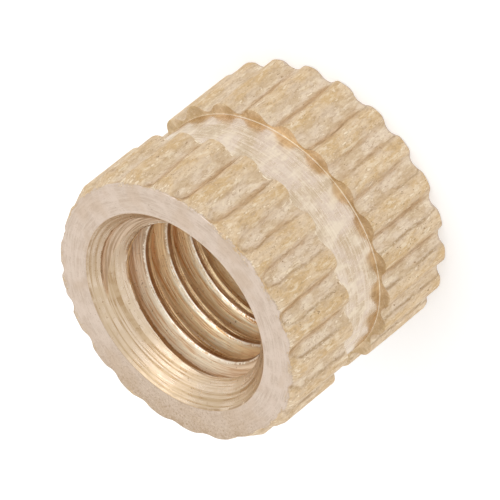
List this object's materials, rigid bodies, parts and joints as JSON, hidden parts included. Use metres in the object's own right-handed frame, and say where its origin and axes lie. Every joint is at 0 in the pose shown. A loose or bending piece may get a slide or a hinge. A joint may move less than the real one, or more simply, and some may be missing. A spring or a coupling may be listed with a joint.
{
  "type": "threaded insert",
  "caption": "Knurled brass press-in insert with a tapped through hole, countersunk ends and a retaining groove.",
  "frame": {"origin": "centre of the end face that the insert stands on", "axes": "+Z along the axis of the threaded hole, out of the upper end face; +X through the crest of a tooth"},
  "size_m": [0.0044, 0.0044, 0.0035],
  "materials": {
    "brass": "bright turned and rolled brass, satin end faces"
  },
  "bodies": {
    "root": {"insert_body": "brass"}
  },
  "joints": []
}
